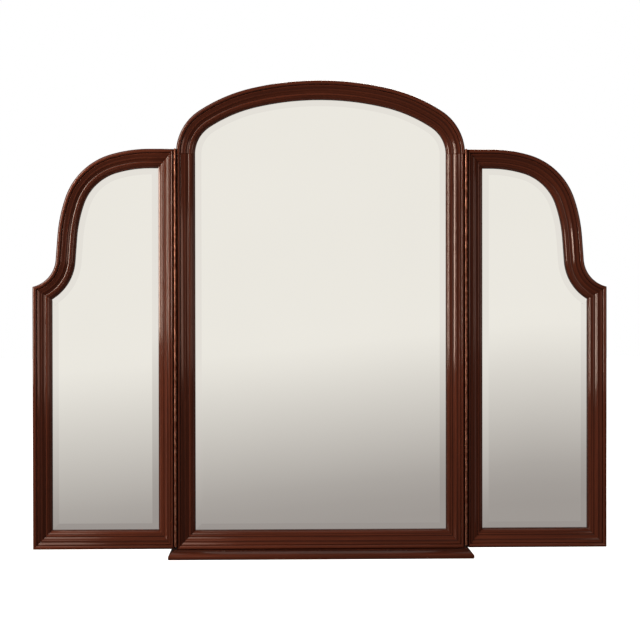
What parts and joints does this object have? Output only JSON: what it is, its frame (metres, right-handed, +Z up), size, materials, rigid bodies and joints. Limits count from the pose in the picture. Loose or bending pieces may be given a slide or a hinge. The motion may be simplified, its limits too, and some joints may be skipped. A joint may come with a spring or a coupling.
{
  "type": "trifold dressing-table mirror",
  "caption": "Dressing-table mirror with an arched centre panel on a plinth and two shouldered wings on continuous hinges that fold forward over it.",
  "frame": {"origin": "under the middle of the plinth, on the table top", "axes": "+Z up, the mirrors face -Y, +X to the right as seen from the front"},
  "size_m": [1.397, 0.14, 1.162],
  "materials": {
    "mahogany": "dark red-brown stained mahogany, satin lacquer",
    "spline_wood": "bare hardwood",
    "backboard_wood": "thin wash of brown stain on plywood",
    "silvered_glass": "polished, silvered on the back, wide shallow bevel",
    "felt": "felt",
    "hinge_brass": "aged, dulled brass",
    "brass_screws": "aged brass",
    "pin_steel": "drawn wire",
    "steel_screws": "dull, zinc plated"
  },
  "bodies": {
    "root": {"center_left_stile": "mahogany", "center_right_stile": "mahogany", "center_bottom_rail": "mahogany", "center_arch": "mahogany", "plinth_board": "mahogany", "plinth_front_moulding": "mahogany", "plinth_left_moulding": "mahogany", "plinth_right_moulding": "mahogany", "left_back_bracket": "mahogany", "right_back_bracket": "mahogany", "center_corner_splines": "spline_wood", "center_mirror_glass": "silvered_glass", "center_felt_packing": "felt", "center_backboard": "backboard_wood", "center_backboard_screws": "steel_screws", "plinth_screws": "steel_screws", "bracket_screws": "steel_screws", "left_hinge_fixed_leaf": "hinge_brass", "left_hinge_pin": "pin_steel", "left_hinge_fixed_screws": "brass_screws", "right_hinge_fixed_leaf": "hinge_brass", "right_hinge_pin": "pin_steel", "right_hinge_fixed_screws": "brass_screws"},
    "left_wing": {"left_wing_hinge_stile": "mahogany", "left_wing_outer_stile": "mahogany", "left_wing_bottom_rail": "mahogany", "left_wing_top_rail": "mahogany", "left_wing_corner_splines": "spline_wood", "left_wing_mirror_glass": "silvered_glass", "left_wing_felt_packing": "felt", "left_wing_backboard": "backboard_wood", "left_wing_backboard_screws": "steel_screws", "left_hinge_moving_leaf": "hinge_brass", "left_hinge_moving_screws": "brass_screws"},
    "right_wing": {"right_wing_hinge_stile": "mahogany", "right_wing_outer_stile": "mahogany", "right_wing_bottom_rail": "mahogany", "right_wing_top_rail": "mahogany", "right_wing_corner_splines": "spline_wood", "right_wing_mirror_glass": "silvered_glass", "right_wing_felt_packing": "felt", "right_wing_backboard": "backboard_wood", "right_wing_backboard_screws": "steel_screws", "right_hinge_moving_leaf": "hinge_brass", "right_hinge_moving_screws": "brass_screws"}
  },
  "joints": [
    {"name": "left_wing_hinge", "type": "hinge", "parent": "root", "child": "left_wing", "pos_m": [-0.3536, -0.05135, 0.512], "axis": [0, 0, 1], "range_deg": [0, 180]},
    {"name": "right_wing_hinge", "type": "hinge", "parent": "root", "child": "right_wing", "pos_m": [0.3536, -0.05135, 0.512], "axis": [0, 0, -1], "range_deg": [0, 180]}
  ]
}
